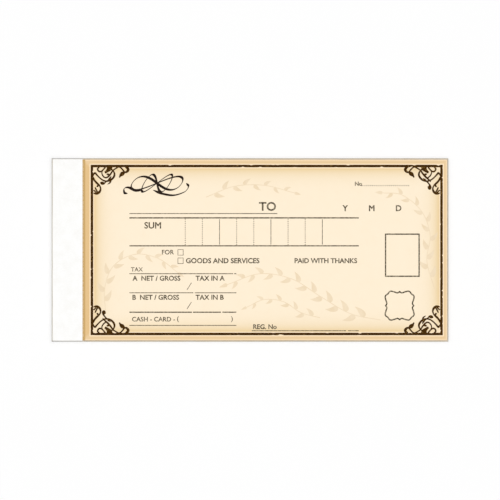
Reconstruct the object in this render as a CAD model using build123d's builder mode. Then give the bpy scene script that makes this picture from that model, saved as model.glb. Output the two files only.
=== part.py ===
"""Duplicate receipt book, bound on its left edge.

Two-part sets of thin copying paper are glued along one edge into a creased card cover. Every sheet
has a blank stub at the binding, and the original of each set tears off along a perforated line.
The front cover is folded right round behind the book, as it is while a slip is being written.

Frame: X runs from the binding to the free edge, Y up the page and Z out of the page.
The origin is the centre of the underside.
"""

import os

from build123d import *

# Sheets, in millimetres
SHEET_LENGTH = 183.0  # binding edge to free edge, stub included
SHEET_WIDTH = 84.0
STUB_LENGTH = 14.0  # blank strip that stays in the binding
ORIGINAL_THICKNESS = 0.07
COPY_THICKNESS = 0.06
SET_COUNT = 50

# Perforated line of an original
PERF_CUT = 1.6  # length of one cut, along the line
PERF_TIE = 0.6  # paper left between two cuts
PERF_SLIT = 0.16  # width of a cut, across the line
PERF_SETS = 10  # sets from the top whose originals carry their cuts; the deeper ones are left whole

# Cover, backing and binding
CARD_THICKNESS = 0.25
COVER_MARGIN = 0.6  # how far the card shows round the free edges of the sheets
CREASE_RADIUS = 0.18  # rounding of the card on the outside of a fold
BOARD_THICKNESS = 0.8
GLUE_THICKNESS = 0.2

# Loose card that is slipped under the set in use, and kept behind the last set
SHIELD_THICKNESS = 0.4
SHIELD_MARGIN = 1.5  # how far it stays inside the edges of the sheets
SHIELD_CORNER = 2.5

# Levels, from the underside up
FRONT_COVER_TOP = CARD_THICKNESS
BACK_COVER_TOP = FRONT_COVER_TOP + CARD_THICKNESS
BOARD_TOP = BACK_COVER_TOP + BOARD_THICKNESS
SHIELD_TOP = BOARD_TOP + SHIELD_THICKNESS
SET_THICKNESS = ORIGINAL_THICKNESS + COPY_THICKNESS
BLOCK_TOP = SHIELD_TOP + SET_COUNT * SET_THICKNESS
FLAP_TOP = BLOCK_TOP + CARD_THICKNESS  # fold line that lets the flap close flat on the block

# Places along the book, from the folded cover to the free edge
BOOK_LENGTH = SHEET_LENGTH + COVER_MARGIN + GLUE_THICKNESS + 2 * CARD_THICKNESS
FLAP_OUTSIDE = -BOOK_LENGTH / 2
SPINE_OUTSIDE = FLAP_OUTSIDE + CARD_THICKNESS
SPINE_INSIDE = SPINE_OUTSIDE + CARD_THICKNESS
BOUND_EDGE = SPINE_INSIDE + GLUE_THICKNESS
PERF_LINE = BOUND_EDGE + STUB_LENGTH
FREE_EDGE = BOUND_EDGE + SHEET_LENGTH
COVER_EDGE = FREE_EDGE + COVER_MARGIN

COVER_WIDTH = SHEET_WIDTH + 2 * COVER_MARGIN
FLAP_LENGTH = FLAP_TOP - FRONT_COVER_TOP
FRONT_COVER_END = COVER_EDGE - FLAP_LENGTH  # closed, it ends flush with the back cover
FOLD_ROUNDING = min(CREASE_RADIUS, 0.9 * CARD_THICKNESS)

PERF_PITCH = PERF_CUT + PERF_TIE
PERF_COUNT = int((SHEET_WIDTH - PERF_TIE) / PERF_PITCH)


def plate(start, end, bottom, top, width):
    """A flat rectangular sheet between two places along X and two levels, centred on Y."""
    with BuildPart() as flat:
        with BuildSketch(Plane.XY.offset(bottom)):
            with Locations(((start + end) / 2, 0)):
                Rectangle(end - start, width)
        extrude(amount=top - bottom)
    return flat.part


def perforated_plate(start, end, bottom, top):
    """A sheet as wide as the book, less the cuts of the perforated line wherever they cross it."""
    with BuildPart() as comb:
        with BuildSketch(Plane.XY.offset(bottom)):
            with Locations(((start + end) / 2, 0)):
                Rectangle(end - start, SHEET_WIDTH)
            with Locations((PERF_LINE, 0)):
                with GridLocations(PERF_SLIT, PERF_PITCH, 1, PERF_COUNT):
                    Rectangle(PERF_SLIT, PERF_CUT, mode=Mode.SUBTRACT)
        extrude(amount=top - bottom)
    return comb.part


def write(piece, name):
    """Labels a finished piece and writes it as its own file."""
    piece.label = name
    export_step(piece, f"parts/{name}.step")


os.makedirs("parts", exist_ok=True)

# Cover card: the back and the spine are one creased piece, glued to the block
with BuildPart() as back_cover:
    with BuildSketch(Plane.XZ.offset(-COVER_WIDTH / 2)):
        with BuildLine():
            Polyline(
                (SPINE_OUTSIDE, FRONT_COVER_TOP),
                (COVER_EDGE, FRONT_COVER_TOP),
                (COVER_EDGE, BACK_COVER_TOP),
                (SPINE_INSIDE, BACK_COVER_TOP),
                (SPINE_INSIDE, BLOCK_TOP),
                (SPINE_OUTSIDE, BLOCK_TOP),
                close=True,
            )
        make_face()
    extrude(amount=COVER_WIDTH)
    spine_fold = back_cover.edges().filter_by(Axis.Y).group_by(Axis.Z)[0].sort_by(Axis.X)[0]
    fillet(spine_fold, radius=FOLD_ROUNDING)
write(back_cover.part, "back_cover")

# Cover card: the flap between the two creases, folded down over the spine
with BuildPart() as cover_flap:
    with BuildSketch(Plane.XY.offset(FRONT_COVER_TOP)):
        with Locations(((FLAP_OUTSIDE + SPINE_OUTSIDE) / 2, 0)):
            Rectangle(CARD_THICKNESS, COVER_WIDTH)
    extrude(amount=FLAP_LENGTH)
    flap_folds = cover_flap.edges().filter_by(Axis.Y).group_by(Axis.X)[0]
    fillet(flap_folds, radius=FOLD_ROUNDING)
write(cover_flap.part, "cover_flap")

# Cover card: the front cover, folded on under the back cover
with BuildPart() as front_cover:
    with BuildSketch():
        with Locations(((SPINE_OUTSIDE + FRONT_COVER_END) / 2, 0)):
            Rectangle(FRONT_COVER_END - SPINE_OUTSIDE, COVER_WIDTH)
    extrude(amount=CARD_THICKNESS)
    cover_fold = front_cover.edges().filter_by(Axis.Y).group_by(Axis.Z)[0].sort_by(Axis.X)[0]
    fillet(cover_fold, radius=FOLD_ROUNDING)
write(front_cover.part, "front_cover")

# Binding glue, between the spine and the edges of the board and the sheets
write(plate(SPINE_INSIDE, BOUND_EDGE, BACK_COVER_TOP, BLOCK_TOP, SHEET_WIDTH), "spine_glue")

# Stiff board under the block
write(plate(BOUND_EDGE, FREE_EDGE, BACK_COVER_TOP, BOARD_TOP, SHEET_WIDTH), "backing_board")

# Writing shield, a loose round-cornered card
with BuildPart() as writing_shield:
    with BuildSketch(Plane.XY.offset(BOARD_TOP)):
        with Locations(((BOUND_EDGE + FREE_EDGE) / 2, 0)):
            RectangleRounded(
                SHEET_LENGTH - 2 * SHIELD_MARGIN,
                SHEET_WIDTH - 2 * SHIELD_MARGIN,
                SHIELD_CORNER,
            )
    extrude(amount=SHIELD_THICKNESS)
write(writing_shield.part, "writing_shield")

# Waiting sets, each an original on its copy, numbered from the top of the book
for number in range(2, SET_COUNT + 1):
    set_bottom = BLOCK_TOP - number * SET_THICKNESS
    copy_top = set_bottom + COPY_THICKNESS
    set_top = BLOCK_TOP - (number - 1) * SET_THICKNESS
    copy_sheet = plate(BOUND_EDGE, FREE_EDGE, set_bottom, copy_top, SHEET_WIDTH)
    if number <= PERF_SETS:
        original_sheet = perforated_plate(BOUND_EDGE, FREE_EDGE, copy_top, set_top)
    else:
        original_sheet = plate(BOUND_EDGE, FREE_EDGE, copy_top, set_top, SHEET_WIDTH)
    write(Compound([copy_sheet, original_sheet]), f"set_{number:02d}")

# Top set: each sheet is one stub and one slip, which meet at the line where the paper turns
FIRST_COPY_BOTTOM = BLOCK_TOP - SET_THICKNESS
FIRST_COPY_TOP = BLOCK_TOP - ORIGINAL_THICKNESS
write(
    plate(BOUND_EDGE, PERF_LINE, FIRST_COPY_BOTTOM, FIRST_COPY_TOP, SHEET_WIDTH),
    "set_01_copy_stub",
)
write(
    plate(PERF_LINE, FREE_EDGE, FIRST_COPY_BOTTOM, FIRST_COPY_TOP, SHEET_WIDTH),
    "set_01_copy_slip",
)
write(
    perforated_plate(BOUND_EDGE, PERF_LINE, FIRST_COPY_TOP, BLOCK_TOP),
    "set_01_original_stub",
)
write(
    perforated_plate(PERF_LINE, FREE_EDGE, FIRST_COPY_TOP, BLOCK_TOP),
    "set_01_original_slip",
)
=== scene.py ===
"""Looks of a duplicate receipt book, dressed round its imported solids.

Frame: X runs from the binding to the free edge, Y up the page and Z out of the page, in metres.
Places on a printed slip are in millimetres: along from the perforated line, down from the top edge.
"""

import logging
import math
from abc import ABC, abstractmethod
from collections.abc import Iterable, Sequence
from dataclasses import dataclass, field
from enum import Enum
from typing import Any, ClassVar, Union

import bpy
import numpy as np
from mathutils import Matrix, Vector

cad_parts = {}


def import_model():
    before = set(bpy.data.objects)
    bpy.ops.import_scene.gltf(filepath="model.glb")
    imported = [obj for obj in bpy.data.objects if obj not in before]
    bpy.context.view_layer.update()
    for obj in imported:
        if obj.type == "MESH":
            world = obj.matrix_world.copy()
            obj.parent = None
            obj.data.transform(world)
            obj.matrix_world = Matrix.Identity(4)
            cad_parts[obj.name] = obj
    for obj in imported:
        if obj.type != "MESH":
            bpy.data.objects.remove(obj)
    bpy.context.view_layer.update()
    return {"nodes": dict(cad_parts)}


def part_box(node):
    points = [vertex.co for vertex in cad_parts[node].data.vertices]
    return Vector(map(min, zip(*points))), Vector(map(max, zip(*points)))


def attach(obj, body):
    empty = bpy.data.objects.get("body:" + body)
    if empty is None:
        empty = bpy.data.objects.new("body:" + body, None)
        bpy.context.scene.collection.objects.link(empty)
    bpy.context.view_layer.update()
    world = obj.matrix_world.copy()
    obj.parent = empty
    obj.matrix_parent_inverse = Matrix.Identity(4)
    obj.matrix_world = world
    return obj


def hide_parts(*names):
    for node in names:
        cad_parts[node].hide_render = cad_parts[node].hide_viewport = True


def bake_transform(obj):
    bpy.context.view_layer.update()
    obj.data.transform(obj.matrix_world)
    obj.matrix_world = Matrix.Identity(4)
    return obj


LOG = logging.getLogger("receipt_book")

MM = 0.001  # metres in a millimetre
PAGE_MAP = "page"  # UV map that holds a sheet's own coordinates
INK_RELIEF = 0.03 * MM  # room over the paper of a sheet for its ink
INK_STEP = 0.003 * MM  # between the faces of strokes that cross
SHEET_SEED = 12
WEAR_SEED = 5
LETTER_STEPS = 3  # points to each curved stretch of a letter's outline
WELD_DIGITS = 5  # decimals that two points of a letter have in common where they are one
SLIVER = 1e-9  # twice the area of a triangle that is as good as none

Colour = tuple[float, float, float, float]
Band = tuple[float, float]  # the levels between which something comes in
Fed = Union["Value", bpy.types.NodeSocket, float, tuple]


def srgb(red: float, green: float, blue: float) -> Colour:
    """The linear colour that shows as these 0 to 255 values, by the two parts of the sRGB curve.

    Args:
        red: red as seen.
        green: green as seen.
        blue: blue as seen.

    Returns:
        The colour with full opacity.
    """
    seen = np.array([red, green, blue]) / 255.0
    linear = np.where(seen <= 0.04045, seen / 12.92, ((seen + 0.055) / 1.055) ** 2.4)
    return (float(linear[0]), float(linear[1]), float(linear[2]), 1.0)


class Value:
    """A number that varies over a surface: a socket whose arithmetic adds Math nodes."""

    def __init__(self, board: "NodeBoard", socket: bpy.types.NodeSocket) -> None:
        """Wraps a socket of a board's node tree."""
        self.board = board
        self.socket = socket

    def _math(self, operation: str, *numbers: Fed) -> "Value":
        """One Math node on the numbers given, in their order."""
        node = self.board.add(
            "ShaderNodeMath", {"operation": operation}, dict(enumerate(numbers))
        )
        return Value(self.board, node.outputs[0])

    def __add__(self, other: Fed) -> "Value":
        """This plus other."""
        return self._math("ADD", self, other)

    def __radd__(self, other: Fed) -> "Value":
        """Other plus this."""
        return self._math("ADD", other, self)

    def __sub__(self, other: Fed) -> "Value":
        """This less other."""
        return self._math("SUBTRACT", self, other)

    def __rsub__(self, other: Fed) -> "Value":
        """Other less this."""
        return self._math("SUBTRACT", other, self)

    def __mul__(self, other: Fed) -> "Value":
        """This times other."""
        return self._math("MULTIPLY", self, other)

    def __rmul__(self, other: Fed) -> "Value":
        """Other times this."""
        return self._math("MULTIPLY", other, self)

    def __truediv__(self, other: Fed) -> "Value":
        """This over other."""
        return self._math("DIVIDE", self, other)

    def __rtruediv__(self, other: Fed) -> "Value":
        """Other over this."""
        return self._math("DIVIDE", other, self)

    def __gt__(self, other: Fed) -> "Value":
        """1 where this is the greater, else 0."""
        return self._math("GREATER_THAN", self, other)

    def __lt__(self, other: Fed) -> "Value":
        """1 where this is the less, else 0."""
        return self._math("LESS_THAN", self, other)

    def least(self, other: Fed) -> "Value":
        """The lesser of the two."""
        return self._math("MINIMUM", self, other)

    def size(self) -> "Value":
        """The number without its sign."""
        return self._math("ABSOLUTE", self)

    def whole(self) -> "Value":
        """The whole number at or under this one."""
        return self._math("FLOOR", self)

    def fading(self, reach: float) -> "Value":
        """A fall from 1 at nought that drops by e with every reach, and is 1 below nought."""
        share = self._math("MAXIMUM", self, 0.0) * (-1.0 / reach)
        return self._math("EXPONENT", share)

    def between(self, low: float, high: float) -> "Value":
        """A smooth rise from 0 at low to 1 at high."""
        node = self.board.add(
            "ShaderNodeMapRange",
            {"interpolation_type": "SMOOTHSTEP"},
            {"Value": self, "From Min": low, "From Max": high},
        )
        return Value(self.board, node.outputs["Result"])

    def about(self, middle: float, softness: float) -> "Value":
        """A smooth rise from 0 to 1 over a share of the middle to either side of it."""
        return self.between((1.0 - softness) * middle, (1.0 + softness) * middle)

    def with_rest(self, share: float, other: "Value") -> "Value":
        """A share of this and the rest of other."""
        return self * share + other * (1.0 - share)


@dataclass(frozen=True)
class Touch:
    """How a surface feels and shines.

    Attributes:
        roughness: where its map is nought.
        spread: what the map adds to that.
        relief: depth of its map of heights, in metres.
        lean: how strongly the normal leans with the heights.
        gloss: specular level.
    """

    roughness: float
    spread: float
    relief: float
    lean: float
    gloss: float


class NodeBoard:
    """The node tree of a material or of the world, filled through a single method."""

    COLOURS_IN: ClassVar[tuple[int, int]] = (6, 7)  # numbers of the Mix node's inputs for two colours
    COLOUR_OUT: ClassVar[int] = 2  # and of its output for one

    def __init__(self, owner: bpy.types.Material | bpy.types.World) -> None:
        """Empties the owner's tree."""
        owner.use_nodes = True
        self.tree = owner.node_tree
        self.tree.nodes.clear()

    def add(
        self,
        kind: str,
        settings: dict[str, Any] | None = None,
        sockets: dict[str | int, Fed] | None = None,
    ) -> bpy.types.Node:
        """One node of any kind.

        Args:
            kind: the node's type.
            settings: its properties, set first.
            sockets: values or links for its inputs, by name or number.

        Returns:
            The node.
        """
        node = self.tree.nodes.new(kind)
        for name, setting in (settings or {}).items():
            setattr(node, name, setting)
        for key, fed in (sockets or {}).items():
            if isinstance(fed, Value):
                self.tree.links.new(fed.socket, node.inputs[key])
            elif isinstance(fed, bpy.types.NodeSocket):
                self.tree.links.new(fed, node.inputs[key])
            else:
                node.inputs[key].default_value = fed
        return node

    def place(self) -> bpy.types.NodeSocket:
        """Where a point lies in the book's frame at rest, in metres."""
        return self.add("ShaderNodeTexCoord").outputs["Object"]

    def axes(self, vector: bpy.types.NodeSocket) -> tuple[Value, Value, Value]:
        """The three parts of a vector."""
        parts = self.add("ShaderNodeSeparateXYZ", None, {"Vector": vector}).outputs
        return Value(self, parts[0]), Value(self, parts[1]), Value(self, parts[2])

    def page(self) -> bpy.types.NodeSocket:
        """Where a point lies on its sheet, from the sheet's own map."""
        return self.add("ShaderNodeUVMap", {"uv_map": PAGE_MAP}).outputs["UV"]

    def stretched(
        self, vector: bpy.types.NodeSocket, scale: tuple[float, float, float]
    ) -> bpy.types.NodeSocket:
        """A vector with each part times its own factor."""
        node = self.add("ShaderNodeMapping", None, {"Vector": vector, "Scale": scale})
        return node.outputs["Vector"]

    def noise(self, vector: bpy.types.NodeSocket, scale: float, detail: float = 3.0) -> Value:
        """Cloudy variation about one half, with about scale clouds to a unit."""
        node = self.add(
            "ShaderNodeTexNoise", None, {"Vector": vector, "Scale": scale, "Detail": detail}
        )
        return Value(self, node.outputs["Fac"])

    def mixed(self, share: Fed, first: Fed, second: Fed) -> bpy.types.NodeSocket:
        """A colour that goes from first to second as share goes from 0 to 1."""
        sockets = {0: share, **dict(zip(self.COLOURS_IN, (first, second)))}
        node = self.add("ShaderNodeMix", {"data_type": "RGBA"}, sockets)
        return node.outputs[self.COLOUR_OUT]

    def bumped(self, height: Value, depth: float, strength: float) -> bpy.types.NodeSocket:
        """A normal that leans with a height map of the given depth in metres."""
        node = self.add(
            "ShaderNodeBump", None, {"Height": height, "Distance": depth, "Strength": strength}
        )
        return node.outputs["Normal"]

    def seen_plainly(self) -> Value:
        """1 for rays from the camera, in gloss and through glass, else 0."""
        rays = self.add("ShaderNodeLightPath").outputs
        straight = Value(self, rays["Is Camera Ray"]) + Value(self, rays["Is Glossy Ray"])
        return (straight + Value(self, rays["Is Transmission Ray"])).least(1.0)

    def coat(self, **sockets: Fed) -> None:
        """Ends the tree in one Principled shader, its sockets named with underscores."""
        named = {name.replace("_", " "): fed for name, fed in sockets.items()}
        shader = self.add("ShaderNodeBsdfPrincipled", None, named)
        self.add("ShaderNodeOutputMaterial", None, {"Surface": shader.outputs[0]})

    def coated(self, colour: Fed, touch: Touch, height: Value, rough: Value | None = None) -> None:
        """Ends the tree in a shader of one colour and touch.

        Args:
            colour: the base colour.
            touch: how the surface feels and shines.
            height: the map of heights.
            rough: the map that adds to the roughness, where that isn't the heights.
        """
        uneven = height if rough is None else rough
        self.coat(
            Base_Color=colour,
            Roughness=touch.roughness + uneven * touch.spread,
            Normal=self.bumped(height, touch.relief, touch.lean),
            Specular_IOR_Level=touch.gloss,
        )

    def end_in(
        self, output: str, share: Value, first: bpy.types.Node, second: bpy.types.Node
    ) -> None:
        """Ends the tree in a mix of two shaders.

        Args:
            output: the type of the last node.
            share: how much of the second shader is in the mix.
            first: the shader that shows where the share is 0.
            second: the shader that shows where the share is 1.
        """
        shaders = {0: share, 1: first.outputs[0], 2: second.outputs[0]}
        mix = self.add("ShaderNodeMixShader", None, shaders)
        self.add(output, None, {"Surface": mix.outputs[0]})


@dataclass(frozen=True)
class Finish(ABC):
    """A finish that paints itself into one material, kept under its name."""

    name: str
    painted: ClassVar[dict[str, bpy.types.Material]] = {}

    def material(self) -> bpy.types.Material:
        """The finish's material, painted the first time that it is asked for."""
        if self.name not in self.painted:
            self.painted[self.name] = bpy.data.materials.new(self.name)
            self.paint(NodeBoard(self.painted[self.name]))
        return self.painted[self.name]

    @abstractmethod
    def paint(self, board: NodeBoard) -> None:
        """Fills the board's tree."""


@dataclass(frozen=True)
class BarePaper(Finish):
    """Uncoated writing paper: cloudy formation, fine fibre and a slight tooth."""

    page_length: float = 169.0  # mm that one unit of the page map spans, each way
    page_width: float = 84.0
    sheet: Colour = srgb(254, 254, 253)
    cloud: Colour = srgb(249, 248, 245)
    cloud_size: float = 5.0  # mm
    cloud_share: float = 0.6  # of the clouds in the tone, the rest being fibre
    cloud_band: Band = (0.35, 0.7)
    fibre_size: float = 0.35  # mm
    fibre_slant: float = 3.0  # how much longer a fibre is than wide
    touch: Touch = Touch(roughness=0.62, spread=0.2, relief=0.03 * MM, lean=0.35, gloss=0.2)

    def millimetres(self, board: NodeBoard) -> bpy.types.NodeSocket:
        """The page map turned into millimetres on the sheet."""
        return board.stretched(board.page(), (self.page_length, self.page_width, 1.0))

    def clouds(self, board: NodeBoard, spot: bpy.types.NodeSocket) -> Value:
        """Soft patches of denser paper."""
        return board.noise(spot, 1.0 / self.cloud_size)

    def fibre(self, board: NodeBoard, spot: bpy.types.NodeSocket) -> Value:
        """Fine short streaks along the page."""
        slanted = board.stretched(spot, (1.0 / self.fibre_slant, 1.0, 1.0))
        return board.noise(slanted, 1.0 / self.fibre_size, detail=4.0)

    def clouded(self, board: NodeBoard, spot: bpy.types.NodeSocket) -> bpy.types.NodeSocket:
        """The colour of the bare sheet."""
        tone = self.clouds(board, spot).with_rest(self.cloud_share, self.fibre(board, spot))
        return board.mixed(tone.between(*self.cloud_band), self.sheet, self.cloud)

    def paint(self, board: NodeBoard) -> None:
        """Plain paper on both faces and the edges."""
        spot = self.millimetres(board)
        board.coated(self.clouded(board, spot), self.touch, self.fibre(board, spot))


@dataclass(frozen=True)
class PrintedPaper(BarePaper):
    """An original: a bare stub, and a slip whose cream ground darkens to tan at the frame and bleeds off.

    On the slip's face the page map runs from 0 to 1, on its back from 2 to 3 and on its edges from 4 to 5.
    The stub lies just before these.
    """

    frame_left: float = 4.1  # mm from the sheet's edges to the middle of the frame line
    frame_right: float = 2.72
    frame_top: float = 3.05
    frame_bottom: float = 3.04
    overrun: float = 0.28  # mm of the ground on the stub's side of the perforated line
    shade_reach: float = 2.9  # mm over which the tan inside the frame fades by e
    corner_reach: float = 6.0  # mm over which the lighter ground of the corners fades by e, each way
    corner_light: float = 0.95  # share of the tan left out at the very corners
    frame_half: float = 0.6  # mm, half the width of the frame line
    key_width: float = 0.5  # mm, of the pale line on either side of the frame line
    key_softness: float = 0.15  # mm over which the pale line fades, either way
    edge_shade_width: float = 0.12  # mm, of the darker rim along the cut edges, which is painted shade
    pale_reach: float = 0.65  # mm, of the paler ground along the cut edges
    pale_softness: float = 0.4  # share of that reach over which it fades, either way
    mitre: float = 1.5  # mm over which the bands outside the frame blend at the left corners
    mitre_softness: float = 0.7
    perforation_shade_reach: float = 1.0  # mm, width of the dark line next to the perforations, which is painted shade
    edge_softness: float = 0.2  # share of its width over which the rim or the dark line fades, either way; both are painted shade
    blotch_share: float = 0.7  # of the clouds in the ground's unevenness, the rest being fibre
    blotch_band: Band = (0.4, 0.85)
    blotch: float = 0.05  # share of tan that the unevenness adds
    back_from: float = 1.5  # page lengths along, past which the map shows the back and the edges
    cream: Colour = srgb(254, 238, 212)
    tan: Colour = srgb(225, 189, 112)
    band: Colour = srgb(235, 204, 158)
    pale_band: Colour = srgb(249, 222, 183)
    pale_key: Colour = srgb(255, 231, 196)
    # Painted shade: the darker rim along the slip's cut edges.
    edge_shade: Colour = srgb(150, 112, 62)
    side_band: Colour = srgb(229, 193, 138)
    # Painted shade along the perforated line.
    perforation_shade: Colour = srgb(203, 166, 106)
    touch: Touch = Touch(roughness=0.6, spread=0.2, relief=0.03 * MM, lean=0.3, gloss=0.2)

    def ground(self, board: NodeBoard, along: Value, down: Value) -> bpy.types.NodeSocket:
        """The printed colour of the face.

        Inside the frame the share of tan falls by e with every reach from the nearest side, and is less
        under the scrollwork, by the product of such falls from the two nearest sides. Outside lies a band
        of its own colour, paler along the cut edges, and the left-hand one meets the others along a soft
        mitre.

        Args:
            board: the tree to add to.
            along: millimetres from the perforated line.
            down: millimetres from the top edge.

        Returns:
            The colour.
        """
        from_left = along - self.frame_left
        from_right = (self.page_length - self.frame_right) - along
        from_top = down - self.frame_top
        from_bottom = (self.page_width - self.frame_bottom) - down
        across = from_left.least(from_right)
        upright = from_top.least(from_bottom)
        beyond = across.least(upright)
        corner = across.fading(self.corner_reach) * upright.fading(self.corner_reach)
        shade = beyond.fading(self.shade_reach) * (1.0 - corner * self.corner_light)
        inside = board.mixed(shade, self.cream, self.tan)
        to_edge = (self.page_length - along).least(down.least(self.page_width - down))
        inner = to_edge.about(self.pale_reach, self.pale_softness)
        band = board.mixed(inner, self.pale_band, self.band)
        leftmost = (upright - from_left).about(self.mitre, self.mitre_softness)
        beside = board.mixed(leftmost, band, self.side_band)
        # Painted shade: a dark line next to the perforations.
        past_perforation_shade = along.about(self.perforation_shade_reach, self.edge_softness)
        perforation_shaded = board.mixed(past_perforation_shade, self.perforation_shade, beside)
        ground = board.mixed(beyond > 0.0, perforation_shaded, inside)
        key_end = self.frame_half + self.key_width
        key = 1.0 - beyond.size().between(key_end - self.key_softness, key_end + self.key_softness)
        keyed = board.mixed(key, ground, self.pale_key)
        # Painted shade along the cut edges: a thin darker rim.
        rim = 1.0 - to_edge.about(self.edge_shade_width, self.edge_softness)
        return board.mixed(rim, keyed, self.edge_shade)

    def paint(self, board: NodeBoard) -> None:
        """Printed face, bare back and edges."""
        spot = self.millimetres(board)
        along, down, _ = board.axes(spot)
        fibre = self.fibre(board, spot)
        uneven = self.clouds(board, spot).with_rest(self.blotch_share, fibre)
        blotched = uneven.between(*self.blotch_band) * self.blotch
        printed = board.mixed(blotched, self.ground(board, along, down), self.tan)
        bare = (along > self.back_from * self.page_length) + (along < -self.overrun)
        board.coated(board.mixed(bare, printed, self.clouded(board, spot)), self.touch, fibre)


@dataclass(frozen=True)
class SheetStack(Finish):
    """The waiting sets: every sheet a little different in tone, with dust on the cut edges.

    Along the slips the printed ground of the originals tints their edges.
    """

    block_top: float = 8.2 * MM
    set_pitch: float = 0.13 * MM  # an original on its copy
    original_share: float = 0.54  # of the pitch, from the top
    stub_end: float = -77.45 * MM
    pitch: float = 0.065 * MM  # about one sheet
    sheet: Colour = srgb(251, 249, 244)
    dull: Colour = srgb(232, 228, 219)
    tone_share: float = 0.55  # of a sheet's own tone, the rest being dust
    dust_scale: float = 160.0  # patches to a metre
    dust_band: Band = (0.45, 0.75)
    streak_scale: float = 5000.0  # streaks to a metre
    streak_draw: float = 0.05  # their pace from sheet to sheet, against that along the edges
    tint: Colour = srgb(233, 205, 150)
    tint_share: float = 0.4
    tint_least: float = 0.5  # of the tint where there is no dust
    touch: Touch = Touch(roughness=0.7, spread=0.2, relief=0.04 * MM, lean=0.4, gloss=0.2)

    def paint(self, board: NodeBoard) -> None:
        """Tone by level, then soft dust in patches along the edges and the tint of the print."""
        spot = board.place()
        along, _, level = board.axes(spot)
        layer = board.add(
            "ShaderNodeTexWhiteNoise",
            {"noise_dimensions": "1D"},
            {"W": (level / self.pitch).whole()},
        )
        dust = board.noise(spot, self.dust_scale, detail=4.0)
        own = Value(board, layer.outputs["Value"])
        tone = own.with_rest(self.tone_share, dust.between(*self.dust_band))
        drawn = board.stretched(spot, (1.0, 1.0, self.streak_draw))
        streak = board.noise(drawn, self.streak_scale, detail=2.0)
        depth = (self.block_top - level) / self.set_pitch
        original = (depth - depth.whole()) < self.original_share
        tinted = original * (along > self.stub_end) * (self.tint_least + dust) * self.tint_share
        paper = board.mixed(tone, self.sheet, self.dull)
        board.coated(board.mixed(tinted, paper, self.tint), self.touch, streak)


@dataclass(frozen=True)
class CoverCard(Finish):
    """Uncoated grey cover card: mottled and full of short fibres.

    Its rim is painted darker, as painted shade where the card lies at the foot of the sheets, and tinted tan
    beside the slips, as painted light bounced off them. The spine's cut edge is painted darker as shade under
    the upper fold, and the top of that fold lighter as a painted highlight.
    """

    free_edge: float = 92.15 * MM  # from the middle to the cut end
    half_width: float = 42.6 * MM
    cut_from: float = 8.0 * MM  # above this the card shows the spine's cut edge, painted darker as shade under the upper fold
    fold_from: float = 8.22 * MM  # above this it is the outside of the upper fold, painted lighter as a highlight
    stub_end: float = -77.45 * MM
    card: Colour = srgb(221, 219, 214)
    cloud: Colour = srgb(213, 211, 205)
    dark_hair: Colour = srgb(158, 151, 140)
    pale_hair: Colour = srgb(236, 235, 231)
    # Painted shade on the rim, tinted tan beside the slips as painted light bounced off them.
    rim_shade: Colour = srgb(197, 196, 194)
    rim_shade_tan: Colour = srgb(206, 194, 170)
    # Painted highlight: the top of the upper fold, lighter than the rest of the card.
    fold_top_highlight: Colour = srgb(228, 226, 222)
    # The spine's cut edge, painted darker as the shade under the upper fold.
    cut_edge_shade: Colour = srgb(192, 188, 180)
    mottle: float = 9.0 * MM
    cloud_band: Band = (0.32, 0.68)
    hair_width: float = 0.4 * MM
    hair_stretch: float = 9.0  # how much longer a fibre is than wide
    hair_turns: tuple[float, ...] = (0.3, 1.4, 2.5)  # radians, the ways the fibres lie
    dark_band: Band = (0.74, 0.82)
    dark_share: float = 0.6
    pale_band: Band = (0.7, 0.8)
    pale_share: float = 0.5
    rim_shade_reach: float = 1.2 * MM
    rim_tan_blend: float = 4.0 * MM  # over which the grey painted shade turns tan, either way from the stub's end
    rim_tan_band: Band = (0.2, 0.5)
    touch: Touch = Touch(roughness=0.6, spread=0.25, relief=0.06 * MM, lean=0.4, gloss=0.25)

    def hairs(self, board: NodeBoard, spot: bpy.types.NodeSocket, turn: float) -> Value:
        """Short fibres that lie one way: noise drawn out along that way."""
        turned = board.add(
            "ShaderNodeVectorRotate", {"rotation_type": "Z_AXIS"}, {"Vector": spot, "Angle": turn}
        )
        drawn = board.stretched(turned.outputs[0], (1.0 / self.hair_stretch, 1.0, 1.0))
        return board.noise(drawn, 1.0 / self.hair_width, detail=0.0)

    def paint(self, board: NodeBoard) -> None:
        """Mottling, dark and pale fibres, then the painted shade of the rim, the painted shade on the spine's
        cut edge and the painted highlight on the upper fold.
        """
        spot = board.place()
        along, up, level = board.axes(spot)
        cloud = board.noise(spot, 1.0 / self.mottle, detail=5.0)
        tone = board.mixed(cloud.between(*self.cloud_band), self.card, self.cloud)
        tooth = board.noise(spot, 1.0 / self.hair_width)
        for turn in self.hair_turns:
            hair = self.hairs(board, spot, turn)
            dark = hair.between(*self.dark_band) * self.dark_share
            tone = board.mixed(dark, tone, self.dark_hair)
            pale = (1.0 - hair).between(*self.pale_band) * self.pale_share
            tone = board.mixed(pale, tone, self.pale_hair)
        rim = (self.free_edge - along).least(self.half_width - up.size())
        beside_slips = along.between(self.stub_end - self.rim_tan_blend, self.stub_end + self.rim_tan_blend)
        # painted shade on the rim, tinted tan beside the slips as painted bounce light; the result is the
        # card with its painted rim shade
        rim_shade_tone = board.mixed(beside_slips * cloud.between(*self.rim_tan_band), self.rim_shade, self.rim_shade_tan)
        wear_and_rim_shade = board.mixed(rim.fading(self.rim_shade_reach), tone, rim_shade_tone)
        # the spine's cut edge, painted darker as shade under the upper fold
        cut_edge_shaded = board.mixed(level > self.cut_from, wear_and_rim_shade, self.cut_edge_shade)
        # painted highlight on the top of the upper fold
        board.coated(board.mixed(level > self.fold_from, cut_edge_shaded, self.fold_top_highlight), self.touch, tooth)


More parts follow.
